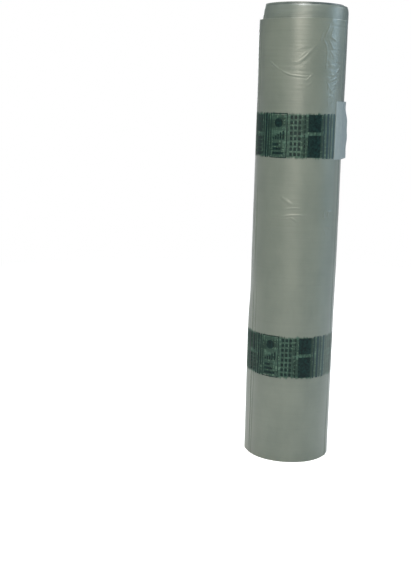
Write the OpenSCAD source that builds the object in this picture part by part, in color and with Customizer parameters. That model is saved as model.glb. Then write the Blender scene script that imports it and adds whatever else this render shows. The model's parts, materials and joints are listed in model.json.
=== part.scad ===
// Roll of air pillow film standing on its end: a web of clear film wound on a paper core.
// Millimetres. The roll's axis is the Z axis and it stands on Z = 0. The front is towards -Y.
// Angles run round the roll from the front towards +X.

/* [Film roll] */
// Width of the film web, which is the height of each turn
web_w = 400; // [250:10:500]
// Outside diameter of the roll
roll_d = 79; // [74:1:90]
// Thickness of the outer wraps that stayed down when the inner turns slid up
outer_wraps = 1.5; // [1.4:0.1:2.4]
// How far the inner turns have slid up out of the outer wraps
slide = 14; // [10:1:18]
// Height of the rounded shoulder of the turns that slid
shoulder_h = 9; // [6:0.5:9]
// How far that shoulder draws in
shoulder_in = 3.9; // [2:0.1:4.4]
// How far the slid turns lean towards +X
lean = 1.2; // [0.6:0.1:1.2]
// Number of times the web is seen to wind round on each end face
turns_seen = 10; // [4:1:12]
// Depth of the spiral furrow between those turns
furrow = 0.8; // [0.3:0.1:1.5]

/* [Core] */
// Inside diameter of the paper core
core_bore = 38; // [30:0.5:44]
// Wall of the paper core
core_wall = 2.5; // [1.5:0.1:3]

/* [Loose film] */
// Angle of the film's free edge
tail_angle = 68; // [60:1:72]
// Depth of the step at the film's free edge
tail_step = 0.35; // [0.2:0.05:0.6]
// Height up to which the outer wrap has come loose on the left
pleat_top = 160; // [100:5:220]
// How far the loose wrap stands off the roll
pleat_rise = 1.4; // [0.8:0.1:2]
// How far the creases in the outermost turn stand up
crease_rise = 0.4; // [0.2:0.05:0.6]

/* [Tape] */
// Height of the tape that holds the film's free edge
tape_h = 51; // [42:1:60]
// Height of the tape's middle above the ground
tape_mid = 305; // [200:5:320]
// Thickness of the tape
tape_t = 0.4; // [0.3:0.05:0.6]
// Angle at which the tape starts
tape_start = 53; // [52:0.5:56]
// Angle at which the tape leaves the roll
tape_lift = 77; // [74:1:80]
// Length of the tape's free end
tape_end = 17; // [8:1:20]

/* [Print] */
// Height of each printed band
band_h = 39; // [30:1:45]
// Height of each band's middle, as a share of the web from its nearer edge
band_place = 0.25; // [0.2:0.01:0.3]
// Thickness given to each coat of ink
ink = 0.1; // [0.08:0.01:0.15]

/* [Hidden] */
$fn = 96;

roll_r = roll_d / 2;
core_r = core_bore / 2 + core_wall;
top_z = web_w + slide;
shoulder_r = roll_r - outer_wraps;
flat_r = shoulder_r - shoulder_in;
pitch = (flat_r - core_r) / turns_seen;
furrow_w = pitch * 0.4;
spiral_step = 12;
// The core ends this far inside the turns next to it
core_inset = 1.2;
// Depth to which joined shapes run into each other
bite = 5;

field_r = roll_r + ink;
upper_mid = web_w * (1 - band_place);
lower_mid = web_w * band_place;
tail_gap = 2.5;
pleat_angle = -86;
pleat_r = 14;
pleat_taper = 36;
// The printed pattern comes this many times in one turn
repeats = 2;

// Turns a length round the roll into an angle
function turn(length) = length / roll_r * 180 / PI;

// Places its children by their angle, with their own X axis pointing out of the roll
module around(angle) {
    rotate([0, 0, angle - 90])
        children();
}

// Thin shell on the roll, from one angle on towards +X
module patch(angle, sweep, r, t, z, h) {
    around(angle)
        rotate_extrude(angle = sweep)
            translate([r, z])
                square([t, h]);
}

// Form of the turns that slid: a flat end with a rounded shoulder
module slid_form(base, top) {
    rotate_extrude()
        polygon(concat(
            [[0, base], [0, top]],
            [for (a = [90 : -15 : 0])
                [flat_r + shoulder_in * cos(a), top - shoulder_h + shoulder_h * sin(a)]],
            [[shoulder_r, base]]
        ));
}

// Point of the spiral that the wound web follows, at an angle counted from the core
function spiral_at(angle, out) =
    (core_r + pitch * (angle / 360 - 0.5) + out) * [cos(angle), sin(angle)];

// Furrow along that spiral, as seen on both end faces
module spiral(z, h) {
    first = 360;
    last = 360 * turns_seen;
    translate([0, 0, z])
        linear_extrude(h)
            polygon(concat(
                [for (a = [first : spiral_step : last]) spiral_at(a, 0)],
                [for (a = [last : -spiral_step : first]) spiral_at(a, furrow_w)]
            ));
}

// Loose pleat of the outermost wrap, low on the left, tapering into the roll at its top
module pleat(cover) {
    around(pleat_angle)
        translate([roll_r + pleat_rise - pleat_r, 0, 0]) {
            cylinder(r = pleat_r + cover, h = pleat_top - pleat_taper);
            translate([0, 0, pleat_top - pleat_taper])
                cylinder(r1 = pleat_r + cover, r2 = pleat_r - pleat_rise - 0.4, h = pleat_taper);
        }
}

// The outermost wrap, grown by the thickness of what covers it
module outer_wrap(cover) {
    cylinder(r = roll_r + cover, h = web_w);
    pleat(cover);
}

// Crease in the outermost turn: an arc round the roll, tilted out of the level
module crease(angle, z, length, tilt) {
    r = 0.9;
    sweep = turn(length);
    around(angle)
        translate([0, 0, z])
            rotate([tilt, 0, 0])
                rotate([0, 0, -sweep / 2])
                    rotate_extrude(angle = sweep)
                        translate([roll_r + crease_rise - r, 0])
                            circle(r = r, $fn = 16);
}

module creases() {
    crease(-31, 357, 15, -30);
    crease(-6, 352, 19, 8);
    crease(6, 369, 20, 37);
    crease(32, 388, 15, 58);
    crease(50, 352, 16, 50);
}

module film_roll() {
    color([0.70, 0.75, 0.71])
        difference() {
            union() {
                outer_wrap(0);
                translate([lean, 0, 0])
                    slid_form(web_w - bite, top_z);
                creases();
            }
            translate([0, 0, -1])
                cylinder(r = core_r, h = top_z + bite);
            slid_form(-1, slide);
            spiral(top_z - furrow, furrow + 1);
            spiral(slide - 1, furrow + 1);
            patch(tail_angle, tail_gap, roll_r - tail_step, 1, -1, web_w + 2);
        }
}

module core_tube() {
    color([0.66, 0.53, 0.38])
        translate([0, 0, slide - core_inset])
            difference() {
                cylinder(r = core_r, h = web_w);
                translate([0, 0, -1])
                    cylinder(d = core_bore, h = web_w + 2);
            }
}

// Tape over the film's free edge: stuck down along the roll, then standing off at its far end
module tail_tape() {
    z = tape_mid - tape_h / 2;
    lap = 0.5;
    color([0.62, 0.68, 0.70]) {
        patch(tape_start, tape_lift - tape_start, field_r, tape_t, z, tape_h);
        around(tape_lift)
            translate([field_r, -lap, z])
                cube([tape_t, tape_end + lap, tape_h]);
    }
}

// Show-through of the printed turns: a tinted band from one side of the free edge to the other
module print_field(mid) {
    color([0.42, 0.50, 0.45])
        difference() {
            intersection() {
                outer_wrap(ink);
                translate([0, 0, mid - band_h / 2])
                    cylinder(r = roll_d, h = band_h);
            }
            outer_wrap(0);
            patch(tail_angle, tail_gap, roll_r - 1, 2, 0, web_w);
        }
}

// Printed bar: s is where it starts along the turn, z how high its foot is in the band
module bar(s, z, w, h) {
    patch(turn(s), turn(w), field_r, ink, z, h);
}

// Printed disc, as a round pin through a thin shell of ink
module disc(s, z, d) {
    intersection() {
        bar(s - d, z - d, 2 * d, 2 * d);
        around(turn(s))
            translate([0, 0, z])
                rotate([0, 90, 0])
                    cylinder(d = d, h = 2 * roll_r);
    }
}

// Upright stripes over the whole height of the band
module stripes(starts, widths) {
    for (i = [0 : len(starts) - 1])
        bar(starts[i], 0, widths[i], band_h);
}

// Block of upright bars over a block of level ones
module hatch(s) {
    for (i = [0 : 3])
        bar(s + i * 3, 22, 2, 15);
    for (i = [0 : 4])
        bar(s, 2 + i * 3.4, 11, 2.2);
}

// Framed panel with a disc, a row of bars and a chart of bars
module panel(s) {
    w = 17;
    line = 0.8;
    for (x = [0, w - line])
        bar(s + x, 0, line, band_h);
    for (z = [0, band_h - line])
        bar(s + line, z, w - 2 * line, line);
    disc(s + w / 2, band_h - 8.5, 8);
    for (i = [0 : 4])
        bar(s + 3 + i * 2.4, 16, 1.5, 2 + i * 1.4);
    for (i = [0 : 2])
        bar(s + 3, 3 + i * 3.8, 11 - i * 2.5, 2.2);
}

// Columns of small squares
module squares(s) {
    for (column = [0 : 2], row = [0 : 7])
        bar(s + column * 3.6, 2 + row * 4.6, 2.4, 2.8);
}

// Column of dashes
module dashes(s) {
    for (row = [0 : 8])
        bar(s, 1 + row * 4.2, 1.1, 3);
}

// Two solid blocks, the upper with a round window and the lower with a slot
module blocks(s) {
    w = 12;
    difference() {
        bar(s, 23, w, 15);
        around(turn(s + w / 2))
            translate([0, 0, 30.5])
                rotate([0, 90, 0])
                    cylinder(d = 5, h = 2 * roll_r);
    }
    difference() {
        bar(s, 1, w, 19);
        around(turn(s + 3.5))
            translate([0, 0, 9])
                rotate_extrude(angle = turn(5))
                    translate([roll_r, 0])
                        square([1, 2]);
    }
}

// One repeat of the printed pattern
module pattern() {
    hatch(-49.5);
    stripes([-36.5, -33.5, -30.5], [1.2, 2, 1]);
    panel(-27.5);
    squares(-8);
    dashes(4.5);
    blocks(8);
    stripes([22.5, 26, 30, 33.5], [1.2, 2.4, 1, 2]);
}

module print_marks(mid) {
    color([0.20, 0.30, 0.25])
        for (i = [0 : repeats - 1])
            rotate([0, 0, i * 360 / repeats])
                translate([0, 0, mid - band_h / 2])
                    pattern();
}

module upper_print_field() {
    print_field(upper_mid);
}

module upper_print_marks() {
    print_marks(upper_mid);
}

module lower_print_field() {
    print_field(lower_mid);
}

module lower_print_marks() {
    print_marks(lower_mid);
}

core_tube();
film_roll();
tail_tape();
upper_print_field();
upper_print_marks();
lower_print_field();
lower_print_marks();
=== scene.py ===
import json
import math

import bpy
import numpy as np
from mathutils import Matrix, Vector


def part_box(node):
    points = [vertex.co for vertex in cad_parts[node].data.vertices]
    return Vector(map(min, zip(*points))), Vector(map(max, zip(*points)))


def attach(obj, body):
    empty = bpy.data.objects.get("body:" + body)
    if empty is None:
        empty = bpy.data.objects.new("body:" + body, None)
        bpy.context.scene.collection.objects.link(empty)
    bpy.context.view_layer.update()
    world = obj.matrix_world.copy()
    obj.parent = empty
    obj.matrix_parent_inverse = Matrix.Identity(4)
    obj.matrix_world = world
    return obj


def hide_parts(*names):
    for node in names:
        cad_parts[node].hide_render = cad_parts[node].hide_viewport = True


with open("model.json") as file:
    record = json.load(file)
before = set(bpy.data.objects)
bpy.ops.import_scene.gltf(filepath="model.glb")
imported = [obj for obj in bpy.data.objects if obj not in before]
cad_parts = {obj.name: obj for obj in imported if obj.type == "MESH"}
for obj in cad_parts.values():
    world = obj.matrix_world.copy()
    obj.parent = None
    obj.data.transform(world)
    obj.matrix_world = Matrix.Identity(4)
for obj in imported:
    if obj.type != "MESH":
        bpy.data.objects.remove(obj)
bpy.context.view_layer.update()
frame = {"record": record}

# Core tube. A paper tube wound on a slant from strips of grey-brown board, glued one over the next.
# The film is wound on it, and its cut ends lie just inside the turns next to it.
MM = 0.001
core_low, core_high = [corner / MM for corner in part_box("core_tube")]
core_r = core_high.x
bore_r = next(m for m in frame["record"]["mounts"] if m["name"] == "core_bore")["dims"]["r_mm"]


def on_roll(angle, radius, height):
    """Points in mm from their angle, in degrees from the front towards +X, radius and height."""
    turned = np.radians(angle)
    return np.stack(np.broadcast_arrays(radius * np.sin(turned), -radius * np.cos(turned), height), -1)


def ramp(value, low, high):
    """Smooth rise from 0 at low to 1 at high."""
    share = np.clip((value - low) / (high - low), 0, 1)
    return share * share * (3 - 2 * share)


def waves(angle, height, seed, lobes, lengths, count=24):
    """Uneven surface that joins up with itself round the roll: a sum of waves, from about -1 to 1.
    Lobes are how many times a wave goes up and down in a turn, lengths how long it is in height."""
    draw = np.random.default_rng(seed)
    turned = np.radians(angle)
    total = 0
    for _ in range(count):
        lobe = draw.integers(lobes[0], lobes[1] + 1)
        length = draw.uniform(*lengths)
        total = total + np.cos(lobe * turned + 2 * np.pi * height / length + draw.uniform(0, 2 * np.pi))
    return total / math.sqrt(count * 2)


def loop_faces(rows, columns):
    """Quads of a grid whose rows and columns both join up with themselves, as on a ring."""
    row, column = np.meshgrid(np.arange(rows), np.arange(columns), indexing="ij")
    up, side = (row + 1) % rows, (column + 1) % columns
    faces = [row * columns + column, row * columns + side, up * columns + side, up * columns + column]
    return np.stack(faces, -1).reshape(-1, 4)


def film_piece(name, points, faces, material, stands_for, sharp=38):
    """Makes a piece from points in mm, with its faces outward and its edges sharp above an angle."""
    points = np.asarray(points, float).reshape(-1, 3)
    faces = np.asarray(faces)
    a, b, c, d = (points[faces[:, i]] for i in range(4))
    if np.einsum("ij,ij->i", a, np.cross(b, c) + np.cross(c, d)).sum() < 0:
        faces = faces[:, ::-1]
    mesh = bpy.data.meshes.new(name)
    mesh.from_pydata(points * MM, [], faces.tolist())
    mesh.polygons.foreach_set("use_smooth", [True] * len(mesh.polygons))
    mesh.set_sharp_from_angle(angle=math.radians(sharp))
    mesh.materials.append(material)
    piece = bpy.data.objects.new(name, mesh)
    bpy.context.scene.collection.objects.link(piece)
    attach(piece, "root")
    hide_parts(*stands_for)
    return piece


def socket(value):
    """The output to link: a node stands for its first output."""
    return value if isinstance(value, bpy.types.NodeSocket) else value.outputs[0]


class Board:
    """Short calls for placing and linking nodes in one node tree."""

    def __init__(self, tree):
        self.tree = tree

    def add(self, kind, settings=None, **inputs):
        """Adds a node. Inputs go by name, with _ for a space, and take a value or another node."""
        node = self.tree.nodes.new(kind)
        for key, value in (settings or {}).items():
            setattr(node, key, value)
        for key, value in inputs.items():
            self.put(node, key.replace("_", " "), value)
        return node

    def put(self, node, key, value):
        """Links or sets one input, by its name, or by i and its number."""
        target = node.inputs[int(key[1:])] if key[0] == "i" and key[1:].isdigit() else node.inputs[key]
        if isinstance(value, (bpy.types.Node, bpy.types.NodeSocket)):
            self.tree.links.new(socket(value), target)
        else:
            target.default_value = value

    def math(self, operation, a, b=0.0):
        """Sum, product or the like of two values."""
        return self.add("ShaderNodeMath", {"operation": operation}, i0=a, i1=b)

    def spread(self, value, low, high, start, end):
        """Maps a value from one range to another."""
        node = self.add("ShaderNodeMapRange")
        for key, given in (("Value", value), ("From Min", low), ("From Max", high),
                           ("To Min", start), ("To Max", end)):
            self.put(node, key, given)
        return node

    def blend(self, share, first, second):
        """Colour from first to second by a share."""
        node = self.add("ShaderNodeMix", {"data_type": "RGBA"})
        self.put(node, "i0", share)
        self.put(node, "i6", first)
        self.put(node, "i7", second)
        return node.outputs[2]

    def stretched(self, x, y, z):
        """Place on the object, in mm, stretched along its axes."""
        place = self.add("ShaderNodeTexCoord").outputs["Object"]
        return self.add("ShaderNodeMapping", Vector=place, Scale=(x / MM, y / MM, z / MM))

    def noise(self, place, detail=3.0, rough=0.5, scale=1.0):
        """Cloudy noise from 0 to 1."""
        node = self.add("ShaderNodeTexNoise", Vector=place, Scale=scale, Detail=detail, Roughness=rough)
        return node.outputs["Fac"]


def tone(red, green, blue):
    """A colour as it is seen on a screen, 0 to 255, as linear light."""
    share = np.array([red, green, blue]) / 255
    light = np.where(share < 0.04045, share / 12.92, ((share + 0.055) / 1.055) ** 2.4)
    return (*(float(c) for c in light), 1.0)


def new_material(name):
    """A material, the board for its nodes, and its shader."""
    material = bpy.data.materials.new(name)
    material.use_nodes = True
    return material, Board(material.node_tree), material.node_tree.nodes["Principled BSDF"]


def board_finish():
    """Rough grey-brown paper with fibres along the strips."""
    material, board, paper = new_material("core_board")
    fibres = board.noise(board.stretched(0.9, 0.9, 0.25), detail=6)
    specks = board.noise(board.stretched(2.5, 2.5, 2.5), detail=2)
    brown = board.blend(fibres, tone(150, 124, 96), tone(188, 163, 130))
    colour = board.blend(board.spread(specks, 0.62, 0.72, 0, 0.5), brown, tone(112, 90, 68))
    board.put(paper, "Base Color", colour)
    paper.inputs["Roughness"].default_value = 0.85
    relief = board.add("ShaderNodeBump", Height=fibres, Strength=0.5, Distance=0.15 * MM)
    board.put(paper, "Normal", relief)
    return material


def core_points():
    """The tube's outline round its wall, pressed in along a slanting seam on the bore."""
    strip = 62.0
    seam_w = 1.1
    seam_depth = 0.28
    round_off = 0.35
    ply_count = 5
    columns = 180
    angle = np.arange(columns) * 360 / columns
    wall = core_r - bore_r
    outline = []
    for share in np.linspace(0.08, 0.92, ply_count * 4 + 1):
        dip = 0.16 * math.cos(share * ply_count * 2 * math.pi)
        outline.append((bore_r + wall * share, core_high.z - round_off + 0.3 + dip))
    for height in np.linspace(core_high.z - round_off, core_low.z + round_off, 3):
        outline.append((core_r, height))
    for share in np.linspace(0.92, 0.08, ply_count * 4 + 1):
        dip = 0.16 * math.cos(share * ply_count * 2 * math.pi)
        outline.append((bore_r + wall * share, core_low.z + round_off - 0.3 - dip))
    for height in np.linspace(core_low.z + round_off, core_high.z - round_off, 180):
        outline.append((bore_r, height))
    rows = []
    turn_share = angle / 360
    for radius, height in outline:
        from_seam = (height + turn_share * strip) % strip
        from_seam = np.minimum(from_seam, strip - from_seam)
        seam = seam_depth * np.exp(-(from_seam / seam_w) ** 2) if radius == bore_r else 0
        rows.append(on_roll(angle, radius + seam + np.zeros(columns), height + np.zeros(columns)))
    return np.array(rows)


core = core_points()
film_piece("core_tube_board", core, loop_faces(*core.shape[:2]), board_finish(),
           ["core_tube"])

# Inner turns. The long web of clear film, wound tight round the core and flat at both ends. They have
# slid up out of the outer wraps, so their upper edge is a terraced shoulder that leans to the right.
# Thickness given to the coat of ink on the roll
INK = 0.1
film_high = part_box("film_roll")[1] / MM
field_low, field_high = [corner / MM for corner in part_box("upper_print_field")]
roll_r = round(field_high.y, 1) - INK
top_z = film_high.z
core_inset = 1.2
slide = round(core_low.z + core_inset, 1)
web_w = top_z - slide
lean = 1.2
wraps_t = 1.5
shoulder_in = 3.9
turns_seen = 10
shoulder_r = roll_r - wraps_t
flat_r = shoulder_r - shoulder_in
turn_pitch = (flat_r - core_r) / turns_seen
# Radius of the slid turns where the outer wraps hide them
hidden_r = shoulder_r - 1.2


def film_tints():
    """Effect shared by the film's materials: cloudy tints and fine tension lines round the roll."""
    tree = bpy.data.node_groups.new("film_tints", "ShaderNodeTree")
    for name, low, high in (("Cloud Size", 1.0, 200.0), ("Line Spacing", 0.1, 20.0)):
        given = tree.interface.new_socket(name, in_out="INPUT", socket_type="NodeSocketFloat")
        given.default_value = low
    for name in ("Cloud", "Lines", "Grain"):
        tree.interface.new_socket(name, in_out="OUTPUT", socket_type="NodeSocketFloat")
    board = Board(tree)
    given = board.add("NodeGroupInput")
    out = board.add("NodeGroupOutput")
    cloud_scale = board.math("DIVIDE", 1.0, given.outputs["Cloud Size"])
    line_scale = board.math("DIVIDE", 1.0, given.outputs["Line Spacing"])
    board.put(out, "Cloud", board.noise(board.stretched(1, 1, 0.55), 5, 0.6, cloud_scale.outputs[0]))
    board.put(out, "Lines", board.noise(board.stretched(0.035, 0.035, 1), 3, 0.6, line_scale.outputs[0]))
    board.put(out, "Grain", board.noise(board.stretched(1.6, 1.6, 1.6), 2, 0.5, 1.0))
    return tree


film_tint_group = film_tints()


def film_surface(board, film, cloud_size, line_spacing, lines_mm):
    """Sets the film's gloss and its tension lines, and gives the clear film's colour and its cloud."""
    tints = board.add("ShaderNodeGroup", {"node_tree": film_tint_group},
                      Cloud_Size=cloud_size, Line_Spacing=line_spacing)
    cloud = board.spread(tints.outputs["Cloud"], 0.3, 0.7, 0, 1)
    lined = board.spread(tints.outputs["Lines"], 0.3, 0.7, -0.12, 0.12)
    share = board.math("ADD", cloud, lined)
    colour = board.blend(share, tone(98, 107, 100), tone(110, 118, 110))
    board.put(film, "Roughness", board.spread(tints.outputs["Cloud"], 0.3, 0.7, 0.34, 0.42))
    relief = board.add("ShaderNodeBump", Height=tints.outputs["Lines"], Strength=1.0,
                       Distance=lines_mm * MM)
    grain = board.add("ShaderNodeBump", Height=tints.outputs["Grain"], Strength=0.35, Distance=0.02 * MM,
                      Normal=relief)
    board.put(film, "Normal", grain)
    film.inputs["Specular IOR Level"].default_value = 0.35
    film.inputs["Coat Weight"].default_value = 1.0
    film.inputs["Coat Roughness"].default_value = 0.33
    return colour


def turns_finish():
    """Many clear turns seen edge on and through their shoulder, a little greener than one turn, with
    painted shade along the top rim.
    """
    material, board, film = new_material("film_turns")
    colour = film_surface(board, film, 9.0, 2.4, 0.16)
    place = board.add("ShaderNodeTexCoord").outputs["Object"]
    flat = board.add("ShaderNodeVectorMath", {"operation": "MULTIPLY"}, i0=place, i1=(1, 1, 0))
    out = board.add("ShaderNodeVectorMath", {"operation": "LENGTH"}, i0=flat).outputs["Value"]
    rings = board.noise(board.add("ShaderNodeCombineXYZ", X=board.math("DIVIDE", out, 0.5 * MM)), 4, 0.7)
    tinted = board.blend(board.spread(rings, 0.35, 0.65, 0.1, 0.8), colour, tone(98, 108, 106))
    height = board.add("ShaderNodeSeparateXYZ", Vector=place).outputs["Z"]
    on_end = board.spread(out, (flat_r + 0.9) * MM, (flat_r + 0.1) * MM, 0, 1)
    edges = board.blend(board.spread(rings, 0.35, 0.65, 0, 1), tone(112, 124, 116), tone(150, 160, 150))
    tinted = board.blend(on_end, tinted, edges)
    # Painted shade: the shoulder darkens over its top few millimetres, where the edge-on turns look dark
    high = board.spread(height, (top_z - 2.8) * MM, (top_z - 2.0) * MM, 0, 0.85)
    rim_shade = board.math("MULTIPLY", high, board.math("SUBTRACT", 1.0, on_end))
    tinted = board.blend(rim_shade, tinted, tone(56, 68, 70))
    board.put(film, "Base Color", tinted)
    film.inputs["Coat Weight"].default_value = 0.7
    film.inputs["Coat Roughness"].default_value = 0.4
    return material


def end_relief(angle, radius, seed):
    """How far the turns' edges stand up or down on an end face: a spiral of turns with uneven edges."""
    winding = (radius - core_r) / turn_pitch - angle / 360
    turn = np.floor(winding)
    place = winding - turn
    furrow = 0.6 * np.exp(-((place - 0.15) / 0.10) ** 2)
    fine = 0.12 * np.cos(place * 8 * np.pi + 2 * waves(angle, turn * 7, seed, (1, 4), (20, 50), 8))
    level = 0.28 * waves(angle + 360 * turn, winding, seed + 1, (1, 3), (2.2, 4.5), 12)
    return level + fine - furrow * (1 + 0.3 * waves(angle, radius, seed + 2, (2, 7), (5, 9), 8))


def slid_radius(angle):
    """Distance in mm from the roll's axis to the wall of the turns that slid and lean."""
    turned = np.radians(angle)
    return lean * np.sin(turned) + np.sqrt((shoulder_r + 0.1) ** 2 - (lean * np.cos(turned)) ** 2)


def turns_points():
    """Outline of the wound turns: end face, terraced shoulder, hidden wall and the recessed lower end."""
    columns = 300
    terraces = 10
    inner_r = core_r + 0.05
    angle = np.arange(columns) * 360 / columns
    rows = []

    def add(radius, height):
        rows.append(on_roll(angle, radius + np.zeros(columns), height + np.zeros(columns)))

    # The shoulder slants down far on the left, and is short and rounder on the right
    to_right = (1 + np.sin(np.radians(angle))) / 2
    left_h, right_h = 14, 7
    straight, rounded = 1.05, 2.6
    shoulder_h = left_h - (left_h - right_h) * to_right
    roundness = straight + (rounded - straight) * to_right ** 2
    end_z = top_z - 0.3 - 0.4 * to_right
    rim_r = flat_r + 0.3 + 0.9 * to_right
    base_r = slid_radius(angle)
    # Just left of the front, one of the upper turns stands proud of the next
    proud_at, proud_reach = -8, 32
    proud = np.exp(-(((angle - proud_at + 180) % 360 - 180) / proud_reach) ** 2)
    for radius in np.linspace(inner_r, rim_r - 0.4, 110):
        fade = ramp(radius, inner_r, inner_r + 0.6) * (1 - ramp(radius, rim_r - 1.1, rim_r - 0.4))
        add(radius, end_z - 0.2 + end_relief(angle, radius, 3) * fade * 0.8)
    for step in range(terraces + 1):
        level = end_z - (end_z - web_w - 0.4) * step / terraces
        share = np.clip((level - end_z + shoulder_h) / shoulder_h, 0, 1)
        ledge_r = rim_r + (base_r - rim_r) * (1 - share ** roundness) ** (1 / roundness)
        level = level + 0.05 * waves(angle, step * 9.0, 21, (1, 5), (20, 60), 10) * (0 < step)
        uneven = 0.10 * waves(angle, step * 5.0, 22, (1, 6), (20, 60), 10)
        uneven = uneven + 0.035 * waves(angle, step * 3.0, 23, (8, 26), (12, 40), 14)
        if step == 1:
            ledge_r = ledge_r + (rim_r + 0.12 - ledge_r) * proud
        if step == 2:
            uneven = uneven + 0.12 * proud
            level = level - 0.5 * proud
        add(ledge_r + uneven - 0.05, level + 0.10)
        add(ledge_r + uneven, level - 0.08)
        add(ledge_r + uneven + 0.03, level - 0.42)
    add(base_r, web_w - 1.2)
    add(hidden_r, web_w - 3)
    add(hidden_r, web_w * 0.5)
    add(hidden_r, slide / 2)
    # The hollow left at the foot narrows in a round bend to the lower end face
    reach = hidden_r - flat_r
    for bend in np.radians(np.linspace(10, 80, 6)):
        add(flat_r + reach * math.cos(bend), slide / 2 * (1 + math.sin(bend)))
    for radius in np.linspace(flat_r - 0.3, inner_r, 100):
        fade = ramp(radius, inner_r, inner_r + 0.6) * (1 - ramp(radius, flat_r - 1.0, flat_r - 0.3))
        add(radius, slide + 0.4 - end_relief(angle, radius, 5) * fade * 0.7)
    return np.array(rows)


turns = turns_points()
film_piece("wound_turns", turns, loop_faces(*turns.shape[:2]), turns_finish(),
           ["film_roll"], sharp=28)

# Outer wraps. The last turns of the web, which stayed down when the rest slid up out of them.
# The outermost one has creases, a loose fold low on the left, and ends in a free edge on the right.
tail_angle = 68.0
tail_step = 0.35
upper_mid = web_w * 0.75
lower_mid = web_w * 0.25
band_h = round(field_high.z - field_low.z, 1)

# Each crease: its points as (angle, height), how far it stands up, and its width
creases = [
    ([(-44, 363.6), (-39.5, 361.5), (-35, 359.3), (-30, 357.2)], 0.34, 0.5),
    ([(-42.0, 362.4), (-35.2, 359.4), (-28.3, 356.4), (-21.9, 354.1), (-14.5, 352.2), (-5.6, 351.3),
      (4.4, 350.8), (10.6, 351.1)], 0.30, 0.45),
    ([(6.6, 347.8), (10.1, 350.2), (15.0, 353.8)], 0.26, 0.45),
    ([(4.9, 342.9), (9.8, 344.1), (14.1, 346.6)], 0.14, 0.6),
    ([(-6.9, 362.4), (-1.4, 364.6), (4.5, 368.1), (11.1, 372.8), (18.3, 378.0)], 0.26, 1.0),
    ([(-2.8, 366.7), (3.1, 370.6), (8.0, 372.7)], 0.14, 0.6),
    ([(-7.0, 373.8), (0.4, 375.1), (6.6, 374.4)], 0.12, 0.7),
    ([(35.5, 395.5), (32.7, 390.4), (29.2, 385.7), (26.6, 381.9)], 0.26, 0.45),
    ([(26.6, 381.9), (29.4, 379.5), (31.6, 376.7)], 0.36, 0.55),
    ([(31.6, 376.7), (33.3, 371.2), (32.6, 365.3), (32.4, 358.6)], 0.18, 0.54),
    ([(22.4, 380.1), (23.1, 384.3), (25.3, 388.3)], 0.22, 0.7),
    ([(37.8, 384.8), (41.3, 383.7), (45.8, 382.1)], 0.30, 0.54),
    ([(35.0, 381.3), (38.4, 379.0), (41.2, 375.7)], 0.22, 0.45),
    ([(41.3, 391.6), (38.3, 388.1), (37.8, 384.8)], 0.21, 0.45),
    ([(38.1, 373.1), (42.6, 369.9), (43.9, 365.7)], 0.20, 0.50),
    ([(46.9, 372.5), (51.3, 368.4), (49.9, 363.3)], 0.17, 0.54),
    ([(41.5, 350.7), (46.0, 352.8), (51.9, 356.6), (59.6, 360.9)], 0.26, 0.54),
    ([(40.8, 348.0), (45.7, 348.9), (50.9, 351.0)], 0.22, 0.50),
    ([(44.4, 343.6), (49.9, 345.4), (56.0, 349.4)], 0.20, 0.45),
    ([(34.9, 346.8), (37.6, 343.1), (36.4, 339.2)], 0.18, 0.45),
    ([(40.5, 338.4), (43.7, 341.0), (48.3, 342.0)], 0.22, 0.45),
    ([(35.3, 333.2), (39.1, 335.4), (43.5, 334.6)], 0.24, 0.45),
    ([(42.3, 328.6), (45.6, 331.6), (46.2, 334.7)], 0.22, 0.45),
    ([(34.5, 324.6), (38.2, 327.3), (37.1, 330.2)], 0.22, 0.45),
    ([(40.4, 321.3), (44.6, 323.5), (45.2, 326.5)], 0.22, 0.45),
    ([(-20.8, 247.1), (-15.2, 244.2), (-10.5, 241.9), (-5.8, 239.5)], 0.26, 0.9),
    ([(-14.0, 245.5), (-9.2, 242.4), (-4.6, 240.6)], 0.14, 0.6),
    ([(-12.1, 236.2), (-6.3, 236.8), (0.1, 237.0), (6.5, 236.9)], 0.26, 0.5),
    ([(-35.1, 227.4), (-24.6, 228.3), (-15.0, 229.6), (-5.9, 230.6), (3.0, 230.9),
      (14.6, 231.6)], 0.3, 0.55),
    ([(-7.7, 228.6), (-3.8, 227.5), (1.3, 225.5)], 0.26, 0.6),
    ([(-24.4, 226.0), (-14.9, 227.3), (-8.3, 227.3)], 0.14, 0.6),
    ([(41.7, 234.8), (39.0, 232.7), (39.6, 229.1), (42.5, 226.3)], 0.28, 0.6),
    ([(53.6, 233.9), (47.4, 233.1), (46.4, 230.1), (49.0, 227.8)], 0.36, 0.55),
    ([(44.0, 220.4), (47.8, 219.9), (52.2, 218.4)], 0.36, 0.6),
    ([(38.0, 219.2), (41.6, 216.4), (44.7, 212.6)], 0.24, 0.6),
    ([(10.2, 198.0), (18.0, 200.8), (25.0, 199.8)], 0.12, 0.8),
    ([(-3.6, 169.6), (5.4, 171.2), (16.0, 169.9)], 0.12, 0.8),
    ([(17.7, 144.1), (26.0, 146.2), (33.4, 148.2)], 0.2, 0.8),
    ([(-69, 392), (-68.5, 352), (-70, 318)], 0.4, 0.9),
    ([(-66, 252), (-64, 225), (-65.5, 185)], 0.6, 1.3),
]
# Creases like these on the sides and the back
creases += [
    ([(118, 382), (127, 371), (131, 362)], 0.34, 1.3),
    ([(150, 392), (154, 379), (149, 366), (153, 357)], 0.30, 1.2),
    ([(-170, 366), (-158, 358), (-146, 357), (-137, 361)], 0.34, 1.3),
    ([(-118, 391), (-112, 381), (-116, 372)], 0.30, 1.2),
    ([(112, 233), (124, 226), (139, 224)], 0.30, 1.3),
    ([(168, 214), (178, 221), (190, 223)], 0.30, 1.3),
    ([(-128, 226), (-119, 219), (-108, 218)], 0.30, 1.2),
    ([(140, 62), (151, 54), (165, 52)], 0.32, 1.5),
    ([(-152, 148), (-144, 140), (-140, 128)], 0.30, 1.5),
    ([(20, 66), (30, 59), (43, 57)], 0.30, 1.4),
    ([(-30, 52), (-18, 47), (-6, 47)], 0.28, 1.4),
]


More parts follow.
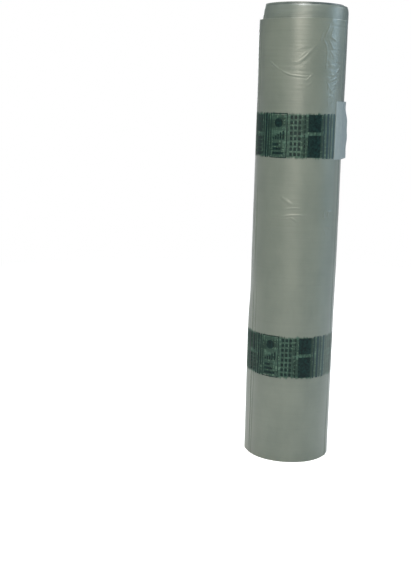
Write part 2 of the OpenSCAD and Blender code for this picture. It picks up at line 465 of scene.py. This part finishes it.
def crease_rise(angle, height, points, rise, width):
    """Height of one crease: a ridge along its line, steeper on one side, that dies away at its ends."""
    arc = math.radians(1) * roll_r
    first = points[0][0]
    along = ((angle - first + 180) % 360 - 180) * arc
    line = [(((a - first + 180) % 360 - 180) * arc, z) for a, z in points]
    lengths = [math.dist(p, q) for p, q in zip(line, line[1:])]
    best = np.full(np.shape(along), 1e9)
    signed = np.zeros(np.shape(along))
    place = np.zeros(np.shape(along))
    done = 0
    for (p, q), length in zip(zip(line, line[1:]), lengths):
        ux, uz = (q[0] - p[0]) / length, (q[1] - p[1]) / length
        forward = (along - p[0]) * ux + (height - p[1]) * uz
        inside = np.clip(forward, 0, length)
        off_x, off_z = along - p[0] - inside * ux, height - p[1] - inside * uz
        gap = np.hypot(off_x, off_z)
        nearer = gap < best
        best = np.where(nearer, gap, best)
        signed = np.where(nearer, ux * off_z - uz * off_x, signed)
        place = np.where(nearer, done + inside, place)
        done += length
    share = place / sum(lengths)
    swell = np.sqrt(np.clip(np.sin(np.pi * np.clip(share * 0.92 + 0.04, 0, 1)), 0, 1))
    reach = np.where(signed > 0, width, width * 1.4)
    ridge = np.exp(-(best / reach) ** 2)
    hollow = 0.3 * np.exp(-((signed + width * 2.6) / (width * 1.3)) ** 2)
    beyond = np.maximum(best - np.abs(signed), 0)
    return rise * swell * (ridge - hollow) * np.exp(-(beyond / width) ** 2)


def loose_fold(angle, height):
    """The outermost wrap come loose low on the left: a swell with two upright folds in front of it."""
    top = 160.0
    down = ramp(top - height, 0, 36)
    swell = 1.25 * np.exp(-((angle + 84) / 10.5) ** 2)
    upright = 0
    for middle, drift, rise in ((-66.5, 3.0, 0.6), (-57.5, -2.0, 0.5)):
        centre = middle + drift * (150 - height) / 150
        upright = upright + rise * np.exp(-((angle - centre) / 1.15) ** 2)
    tucked = -0.2 * np.exp(-((angle + 62) / 3.0) ** 2)
    return (swell + tucked) * down + upright * ramp(top - height, -4, 12)


def skin(angle, height):
    """Radius in mm of the outermost wrap's surface at an angle and a height."""
    angle = np.asarray(angle, float)
    angle = (angle + 180) % 360 - 180
    behind = (tail_angle - angle) % 360
    radius = roll_r - tail_step * behind / 360
    # Out of round, with shallow dents and long upright swells
    radius = radius + 0.16 * waves(angle, height, 31, (1, 5), (60, 220))
    radius = radius + 0.045 * waves(angle, height, 32, (3, 12), (14, 40))
    radius = radius + 0.08 * waves(angle, height, 34, (7, 15), (150, 500))
    # Fine level rows near the top and across the middle, where the web was drawn in
    fine_rows = ramp(height, 325, 350) + ramp(height, 208, 214) * (1 - ramp(height, 248, 254))
    radius = radius + 0.034 * waves(angle, height, 33, (0, 4), (2.6, 6)) * fine_rows
    # Rumples high on the right, where the outermost turn is slack
    slack_at, slack_reach = 43, 13
    rumpled = np.exp(-((angle - slack_at) / slack_reach) ** 2) * ramp(height, 310, 352)
    radius = radius + 0.05 * waves(angle, height, 35, (14, 50), (5, 18)) * rumpled
    for points, rise, width in creases:
        radius = radius + crease_rise(angle, height, points, rise, width)
    radius = radius + loose_fold(angle, height)
    # The free edge stands up a little, by an uneven amount
    lift = 0.38 + 0.14 * np.cos(height / 21) + 0.08 * np.cos(height / 8.3 + 1)
    return radius + lift * np.exp(-behind / 1.6)


def print_bars():
    """One repeat of the print as bars, each by its start along the turn, its foot, width and height."""
    bars = [(-49.5 + i * 3, 22, 2, 15) for i in range(4)]
    bars += [(-49.5, 2 + i * 3.4, 11, 2.2) for i in range(5)]
    bars += [(s, 0, w, band_h) for s, w in zip((-36.5, -33.5, -30.5), (1.2, 2, 1))]
    panel, panel_w, line = -27.5, 17, 0.8
    bars += [(panel + x, 0, line, band_h) for x in (0, panel_w - line)]
    bars += [(panel + line, z, panel_w - 2 * line, line) for z in (0, band_h - line)]
    bars += [(panel + 3 + i * 2.4, 16, 1.5, 2 + i * 1.4) for i in range(5)]
    bars += [(panel + 3, 3 + i * 3.8, 11 - i * 2.5, 2.2) for i in range(3)]
    bars += [(-8 + i * 3.6, 2 + j * 4.6, 2.4, 2.8) for i in range(3) for j in range(8)]
    bars += [(4.5, 1 + i * 4.2, 1.1, 3) for i in range(9)]
    bars += [(s, 0, w, band_h) for s, w in zip((22.5, 26, 30, 33.5), (1.2, 2.4, 1, 2))]
    return bars


disc_spots = [(-19, band_h - 8.5, 4.0)]
blocks = [(8, 23, 12, 15), (8, 1, 12, 19)]
# The pattern comes this many times in one turn
repeats = 2
# Where a painted highlight lightens the print, from one X to another, on the side the cool lights face
glare_from, glare_to = 18.0 * MM, 32.0 * MM


def show_through(angle, height):
    """How dark the printed turns below show at a point, from 0 to 1: the print again, shifted and soft."""
    total = np.zeros(angle.shape)
    around = 2 * math.pi * roll_r / repeats
    shown = print_bars() + blocks + [(x - r, z - r, 2 * r, 2 * r) for x, z, r in disc_spots]
    # For each turn below: how far its print is shifted along and up, how soft it is, and how dark
    deeper = [(3.4, 0.9, 0.5, 0.5), (-6.2, -1.2, 0.8, 0.45), (48.0, 0.7, 0.6, 0.5), (63.5, -0.8, 0.7, 0.45),
              (-34.0, 0.3, 0.8, 0.4), (11.3, 0.4, 1.2, 0.35)]
    for mid in (lower_mid, upper_mid):
        near = np.abs(height - mid) < band_h / 2 + 4
        band = np.zeros(near.sum())
        for shift, drop, soft, weight in deeper:
            along = np.radians(angle[near]) * roll_r - shift
            low = height[near] - (mid - band_h / 2) - drop
            for x, z, w, h in shown:
                off = (along - x - w / 2 + around / 2) % around - around / 2
                wide = 1 / (1 + np.exp(np.clip((np.abs(off) - w / 2) / (soft * 0.4), -30, 30)))
                tall = 1 / (1 + np.exp(np.clip((np.abs(low - z - h / 2) - h / 2) / (soft * 0.4), -30, 30)))
                inked = weight * wide * tall
                band = np.maximum(band, inked) + 0.2 * inked
        total[near] = band
    return np.clip(total, 0, 1)


def wraps_finish():
    """Clear film over the rest of the roll, with the dark printed turns below showing as two bands."""
    material, board, film = new_material("film_outer")
    colour = film_surface(board, film, 22.0, 2.4, 0.22)
    place = board.add("ShaderNodeSeparateXYZ", Vector=board.add("ShaderNodeTexCoord").outputs["Object"])
    middle = (upper_mid + lower_mid) / 2 * MM
    from_mid = board.math("ABSOLUTE", board.math("SUBTRACT", place.outputs["Z"], middle))
    from_mid = board.math("ABSOLUTE", board.math("SUBTRACT", from_mid, (upper_mid - lower_mid) / 2 * MM))
    ragged = board.noise(board.stretched(0.35, 0.35, 0.02), 4, 0.7)
    frayed = board.math("ADD", from_mid, board.spread(ragged, 0.3, 0.7, -1.3 * MM, 1.3 * MM))
    band = board.spread(frayed, (band_h / 2 + 0.9) * MM, (band_h / 2 - 1.6) * MM, 0, 1)
    band.interpolation_type = "SMOOTHSTEP"
    ghost = board.add("ShaderNodeAttribute", {"attribute_name": "show_through"}).outputs["Fac"]
    weight = board.spread(ghost, 0, 0.8, 0.84, 1.0)
    upright = board.noise(board.stretched(0.75, 0.75, 0.13), 2, 0.5)
    level = board.noise(board.stretched(0.15, 0.15, 0.85), 2, 0.5)
    strokes = board.math("MAXIMUM", board.spread(upright, 0.53, 0.58, 0, 0.85),
                         board.spread(level, 0.54, 0.59, 0, 0.7))
    busy = board.math("MAXIMUM", board.spread(ghost, 0, 0.7, 0, 1), strokes)
    dark = board.blend(busy, tone(50, 92, 79), tone(10, 42, 34))
    bare = board.math("MULTIPLY", board.spread(upright, 0.48, 0.40, 0, 0.5),
                      board.spread(level, 0.5, 0.42, 0, 1))
    dark = board.blend(bare, dark, tone(92, 122, 104))
    inked = board.math("MULTIPLY", band, weight)
    # Painted highlight: less of the print band shows towards the right, where the cool lights glare on it
    painted_glare = board.spread(place.outputs["X"], glare_from, glare_to, 1, 0.62)
    inked = board.math("MULTIPLY", inked, painted_glare)
    # Painted shadow: a dark line along the free edge, where it stands up off the turn below
    edge_shade = board.add("ShaderNodeAttribute", {"attribute_name": "edge_shadow"}).outputs["Fac"]
    colour = board.blend(board.math("MULTIPLY", edge_shade, 0.7), colour, tone(52, 62, 64))
    board.put(film, "Base Color", board.blend(inked, colour, dark))
    board.put(film, "Coat Weight", board.spread(inked, 0, 1, 1.0, 0.05))
    # The film is duller over the print
    smooth = film.inputs["Roughness"].links[0].from_socket
    board.put(film, "Roughness", board.math("ADD", smooth, board.spread(inked, 0, 1, 0, 0.25)))
    return material


def spaced(spans):
    """Heights from the lowest to the highest, with a spacing for each span."""
    heights = [spans[0][0]]
    for low, high, spacing in spans:
        count = max(1, round((high - low) / spacing))
        heights += list(np.linspace(low, high, count + 1)[1:])
    return np.array(heights)


def wraps_points():
    """The outer wraps as one ring: creased skin, edges of the wraps on top, inner wall and foot."""
    front = np.concatenate([np.arange(-78, -48, 1.0), np.arange(-48, 58, 0.62),
                            np.arange(58, tail_angle, 1.0)])
    back = np.linspace(tail_angle + 0.25, 282, 80, endpoint=False)
    angle = np.concatenate([front, [tail_angle], back])
    # Rows and columns lie closer together where the creases and the print are
    heights = spaced([(0.0, 76, 4), (76, 124, 1.4), (124, 212, 3.2), (212, 250, 0.62), (250, 276, 2.4),
                      (276, 321, 1.15), (321, 344, 1.0), (344, 368, 0.5), (368, web_w - 1, 0.7)])
    edge = web_w + 0.35 * waves(angle, 0, 41, (1, 6), (20, 60), 10)
    rows = []
    for height in heights:
        rising = height + (edge - web_w) * ramp(height, web_w - 20, web_w)
        rows.append(on_roll(angle, skin(angle, height), rising))
    outside = skin(angle, web_w - 1.0)
    inside = slid_radius(angle)
    # Edges of the wraps side by side, each a little higher or lower than the next
    wraps_seen = 4
    for wrap in range(wraps_seen):
        rise = 0.22 * waves(angle, wrap * 11.0, 42, (1, 5), (20, 60), 10)
        for share, drop in ((0.10, 0.1), (0.45, 0.0), (0.8, 0.1), (1.0, 0.4)):
            along = (wrap + share) / wraps_seen
            rows.append(on_roll(angle, outside + (inside - outside) * along, edge + rise - drop))
    for radius, height in ((hidden_r + 0.4, web_w - 3), (hidden_r + 0.1, web_w - 6),
                           (hidden_r + 0.1, slide / 2), (shoulder_r, slide / 2 - 1.5),
                           (shoulder_r, 0.25), (shoulder_r + 0.2, 0.0)):
        rows.append(on_roll(angle, radius + 0 * angle, height + 0 * angle))
    return angle, np.array(rows)


wrap_angle, wraps = wraps_points()
outer_wraps = film_piece("outer_wraps", wraps, loop_faces(*wraps.shape[:2]), wraps_finish(),
                         ["film_roll", "upper_print_field", "lower_print_field"])
# The finish reads from the mesh where the print below shows, and where a shadow is painted along the free
# edge
below = outer_wraps.data.attributes.new("show_through", "FLOAT", "POINT")
shown_angle = np.broadcast_to(wrap_angle, wraps.shape[:2])
below.data.foreach_set("value", show_through(shown_angle, wraps[:, :, 2]).astype(np.float32).ravel())

# Painted shadow along the free edge, fading out within a degree of it
edge_shadow = outer_wraps.data.attributes.new("edge_shadow", "FLOAT", "POINT")
edge_shadow_share = np.exp(-((tail_angle - shown_angle) % 360) / 0.7) * (wraps[:, :, 2] < web_w - 0.5)
edge_shadow.data.foreach_set("value", edge_shadow_share.astype(np.float32).ravel())

# Print on the outermost turn. Dark green ink in two bands, each a row of plain panels, bars and blocks.
# It lies on the film, follows its dents and is thin enough in places to let the film through; towards the
# right a painted highlight lightens it.
lay = INK / 2


def slab(outer, inner):
    """Points and quads of a thin closed slab between two grids of points."""
    rows, columns = outer.shape[:2]
    points = np.concatenate([outer.reshape(-1, 3), inner.reshape(-1, 3)])
    index = np.arange(rows * columns).reshape(rows, columns)
    top = np.stack([index[:-1, :-1], index[:-1, 1:], index[1:, 1:], index[1:, :-1]], -1).reshape(-1, 4)
    faces = [top, top[:, ::-1] + rows * columns]
    for border in (index[0], index[-1][::-1], index[:, -1], index[:, 0][::-1]):
        under = border + rows * columns
        faces.append(np.stack([border[1:], border[:-1], under[:-1], under[1:]], -1))
    return points, np.concatenate(faces)


def ink_patch(along, low, foot, turned):
    """A patch of ink on the skin, from grids of places along the turn and heights in the band."""
    angle = np.degrees(along / roll_r) + turned
    radius = skin(angle, low + foot)
    return slab(on_roll(angle, radius + lay, low + foot), on_roll(angle, radius - lay, low + foot))


def grid(x, z, w, h):
    """Grid of places over a bar, about a millimetre apart."""
    across = np.linspace(x, x + w, max(2, math.ceil(w / 1.1) + 1))
    up = np.linspace(z, z + h, max(2, math.ceil(h / 1.3) + 1))
    return np.meshgrid(across, up)


def round_grid(x, z, radius):
    """Grid of places over a disc, from a square drawn in to a circle."""
    side = np.linspace(-1, 1, 11)
    a, b = np.meshgrid(side, side)
    return x + radius * a * np.sqrt(1 - b * b / 2), z + radius * b * np.sqrt(1 - a * a / 2)


def print_piece(name, foot, stands_for, material):
    """All the ink of one band as one piece."""
    points, faces, total = [], [], 0
    for repeat in range(repeats):
        turned = repeat * 360 / repeats
        grids = [grid(*bar) for bar in print_bars() + blocks]
        grids += [round_grid(*spot) for spot in disc_spots]
        for along, low in grids:
            some_points, some_faces = ink_patch(along, low, foot, turned)
            points.append(some_points)
            faces.append(some_faces + total)
            total += len(some_points)
    return film_piece(name, np.concatenate(points), np.concatenate(faces), material,
                      [stands_for])


def ink_finish():
    """Dark green ink under the film's gloss, uneven where little of it was laid down, and lightened by a
    painted highlight towards the right.
    """
    material, board, film = new_material("print_ink")
    film_surface(board, film, 22.0, 2.4, 0.22)
    worn = board.noise(board.stretched(0.5, 0.5, 0.5), 5, 0.7)
    place = board.add("ShaderNodeSeparateXYZ", Vector=board.add("ShaderNodeTexCoord").outputs["Object"])
    # Painted highlight: towards the right the ink turns light blue-grey, as where the cool lights glare on
    # it
    painted_glare = board.spread(place.outputs["X"], glare_from, glare_to, 0, 0.7)
    dark = board.blend(board.spread(worn, 0.35, 0.7, 0, 1), tone(0, 14, 16), tone(20, 50, 49))
    dark = board.blend(painted_glare, dark, tone(78, 96, 102))
    board.put(film, "Base Color", dark)
    film.inputs["Specular IOR Level"].default_value = 0.15
    film.inputs["Coat Weight"].default_value = 0.1
    return material


ink = ink_finish()
print_piece("upper_print", upper_mid - band_h / 2, "upper_print_marks", ink)
print_piece("lower_print", lower_mid - band_h / 2, "lower_print_marks", ink)

# Tape. A strip of frosted packing tape, stuck down over the film's free edge. Its far end has come
# away and stands off the roll, further out at its lower corner than at its upper one.
tape_low, tape_high = [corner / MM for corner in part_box("tail_tape")]


def tape_finish():
    """Frosted grey-blue tape: an even, soft surface with faint streaks along its length."""
    material, board, tape = new_material("frosted_tape")
    streaks = board.noise(board.stretched(0.05, 0.05, 0.7), 4, 0.6)
    patches = board.noise(board.stretched(0.2, 0.2, 0.16), 3, 0.5)
    even = board.blend(streaks, tone(134, 145, 147), tone(148, 157, 158))
    colour = board.blend(board.spread(patches, 0.4, 0.7, 0, 0.5), even, tone(128, 141, 143))
    board.put(tape, "Base Color", colour)
    tape.inputs["Roughness"].default_value = 0.55
    tape.inputs["Coat Weight"].default_value = 0.15
    tape.inputs["Coat Roughness"].default_value = 0.3
    board.put(tape, "Normal", board.add("ShaderNodeBump", Height=streaks, Strength=0.5, Distance=0.06 * MM))
    return material


def tape_points():
    """The tape's two faces: along the skin, over the free edge, then straight off the roll."""
    # Angles at which it starts and leaves the roll, the length of its free end, and its thickness
    start, leave, end_length = 53.0, 77.0, 17.0
    thick = 0.2
    heights = np.linspace(tape_low.z, tape_high.z, 129)
    stuck = np.linspace(start, leave, 30)
    free = np.linspace(0, end_length, 16)[1:]
    # Pitch of the teeth that the cutter left
    tooth = 1.6
    faces = []
    for side in (thick, 0.0):
        rows = []
        for height in heights:
            up = (height - tape_low.z) / (tape_high.z - tape_low.z)
            flap = skin(np.minimum(stuck, tail_angle - 0.6), height)
            radius = np.where(stuck < tail_angle, flap, roll_r + 0.25)
            radius = radius + 0.07 + side
            held = on_roll(stuck, radius, height + 0 * stuck)
            out = math.radians(14.4 - 5.6 * ramp(up, 0.55, 0.95) + 0.8 * math.sin(up * 19 + 1))
            bend = out + 0.02 * np.sin(free / 3 + up * 5)
            edge = held[-1]
            bite = 0.55 * abs((height / tooth) % 1 - 0.5) * 2
            length = free - bite * (free / end_length) ** 6
            ends = np.stack([edge[0] + length * np.sin(bend), edge[1] + length * np.cos(bend),
                             height + 0.35 * np.sin(free / 4 + 2) * (up - 0.5)], -1)
            rows.append(np.concatenate([held, ends]))
        faces.append(np.array(rows))
    return slab(*faces)


tape_mesh_points, tape_faces = tape_points()
film_piece("tail_tape_strip", tape_mesh_points, tape_faces, tape_finish(), ["tail_tape"])

# Floor. A plain white surface that the roll stands on, with only its shadow on it.
floor_reach = 6.0
# The shadow fades out between the first two distances, and the floor is mirrored from the third on
shadow_near, shadow_far = 0.35, 1.1
mirror_near, mirror_far = 2.0, 4.0


def floor_finish():
    """White floor that is lit by the lamps near the roll and plain white further away."""
    material, board, ground = new_material("white_floor")
    ground.inputs["Base Color"].default_value = (0.8, 0.8, 0.8, 1)
    ground.inputs["Roughness"].default_value = 0.9
    ground.inputs["Specular IOR Level"].default_value = 0.0
    place = board.add("ShaderNodeTexCoord").outputs["Object"]
    far = board.add("ShaderNodeVectorMath", {"operation": "LENGTH"}, i0=place).outputs["Value"]
    glow = board.add("ShaderNodeEmission", Strength=0.64)
    plain = board.add("ShaderNodeEmission", Strength=1.0)
    lit = board.add("ShaderNodeAddShader", i0=ground, i1=glow)
    beyond = board.spread(far, shadow_near, shadow_far, 0, 1)
    shown = board.add("ShaderNodeMixShader", Fac=beyond, i1=lit, i2=plain)
    # The camera sees the floor white, and reflections see it white only further away
    path = board.add("ShaderNodeLightPath")
    reflected = board.math("MAXIMUM", path.outputs["Is Glossy Ray"], path.outputs["Is Transmission Ray"])
    far_seen = board.math("MULTIPLY", reflected, board.spread(far, mirror_near, mirror_far, 0, 1))
    seen = board.math("MAXIMUM", path.outputs["Is Camera Ray"], far_seen)
    mixed = board.add("ShaderNodeMixShader", Fac=seen, i1=ground, i2=shown)
    output = material.node_tree.nodes["Material Output"]
    board.put(output, "Surface", mixed)
    return material


floor_mesh = bpy.data.meshes.new("floor")
corners = [(-1, -1), (1, -1), (1, 1), (-1, 1)]
# It lies a little below the foot, so that the two don't meet in one plane
floor_drop = -0.0002
floor_points = [(x * floor_reach, y * floor_reach, floor_drop) for x, y in corners]
floor_mesh.from_pydata(floor_points, [], [(0, 1, 2, 3)])
floor_mesh.materials.append(floor_finish())
floor = bpy.data.objects.new("floor", floor_mesh)
bpy.context.scene.collection.objects.link(floor)

# Light. Dim daylight all round, wide warm windows in front and a little to the left, cool ones at the
# right and one behind. Small high lights pick out the rounded shoulder of the slid turns and its rim.
aim = Vector((0, 0, 0.22))


def window(name, angle, distance, height, size, watts, colour):
    """A rectangular light at an angle from the front, facing the middle of the roll."""
    light = bpy.data.lights.new(name, "AREA")
    light.shape = "RECTANGLE"
    light.size, light.size_y = size
    light.energy = watts
    light.color = colour
    lamp = bpy.data.objects.new(name, light)
    turned = math.radians(angle)
    place = Vector((math.sin(turned) * distance, -math.cos(turned) * distance, height))
    lamp.location = place
    lamp.rotation_euler = (place - aim).to_track_quat("Z", "Y").to_euler()
    bpy.context.scene.collection.objects.link(lamp)


window("front_window", -9, 1.7, 1.0, (1.5, 1.2), 8, (0.96, 0.97, 0.90))
window("front_gap", -8, 1.65, 1.05, (0.80, 1.0), 15, (1.0, 0.94, 0.79))
window("front_low", -9, 1.6, 0.52, (0.95, 0.22), 1.7, (1.0, 0.93, 0.76))
window("side_window", 86, 1.2, 0.62, (0.55, 0.5), 1.9, (0.48, 0.76, 1.0))
window("side_gap", 87, 1.15, 0.62, (0.22, 0.5), 0.9, (0.60, 0.82, 1.0))
window("side_glow", 95, 1.2, 0.25, (0.90, 1.0), 1.05, (0.45, 0.72, 1.0))
window("high_front", -8, 1.0, 1.25, (0.80, 0.12), 1.7, (1.0, 0.98, 0.92))
window("high_left", -80, 1.0, 1.15, (0.40, 0.14), 0.8, (1.0, 1.0, 0.95))
window("high_right", 104, 1.0, 0.78, (0.24, 0.10), 1.5, (0.85, 0.95, 1.0))
window("overhead", -50, 0.08, 1.38, (0.40, 0.30), 8.0, (1.0, 1.0, 1.0))
window("back_window", 186, 1.7, 0.9, (0.8, 1.2), 11, (0.97, 1.0, 0.97))

world = bpy.data.worlds.new("daylight")
bpy.context.scene.world = world
world.use_nodes = True
sky = Board(world.node_tree)
background = world.node_tree.nodes["Background"]
# Reflections see the white backdrop straight behind the roll, and the dim room everywhere else
looking = sky.add("ShaderNodeSeparateXYZ", Vector=sky.add("ShaderNodeTexCoord").outputs["Generated"])
behind = sky.spread(looking.outputs["Y"], 0.93, 1.0, 0, 1)
path = sky.add("ShaderNodeLightPath")
reflected = sky.math("MAXIMUM", path.outputs["Is Glossy Ray"], path.outputs["Is Transmission Ray"])
white = sky.math("MAXIMUM", path.outputs["Is Camera Ray"], sky.math("MULTIPLY", reflected, behind))
room = (0.17, 0.192, 0.20, 1)
day = sky.blend(white, room, (1.0, 1.0, 1.0, 1))
sky.put(background, "Color", day)
background.inputs["Strength"].default_value = 1.0

# Camera. It stands in front of the roll, a little below its top, and looks slightly down and to the left,
# so that the roll is at the upper right of the picture.
picture_h = 566
# Focal length in the picture's pixels
focal_pixels = 952
eye = Vector((0, -0.882, 0.329))
yaw, pitch, turn = (math.radians(a) for a in (5.33, 10.88, 1.40))
forward = Vector((-math.sin(yaw) * math.cos(pitch), math.cos(yaw) * math.cos(pitch), -math.sin(pitch)))
level = Vector((math.cos(yaw), math.sin(yaw), 0))
right = level * math.cos(turn) + level.cross(forward) * math.sin(turn)
camera = bpy.data.objects.new("camera", bpy.data.cameras.new("camera"))
camera.data.sensor_width = 36
camera.data.lens = camera.data.sensor_width * focal_pixels / picture_h
facing = Matrix((right, right.cross(forward), -forward)).transposed()
camera.matrix_world = Matrix.Translation(eye) @ facing.to_4x4()
bpy.context.scene.collection.objects.link(camera)
bpy.context.scene.camera = camera
bpy.context.scene.view_settings.view_transform = "Standard"
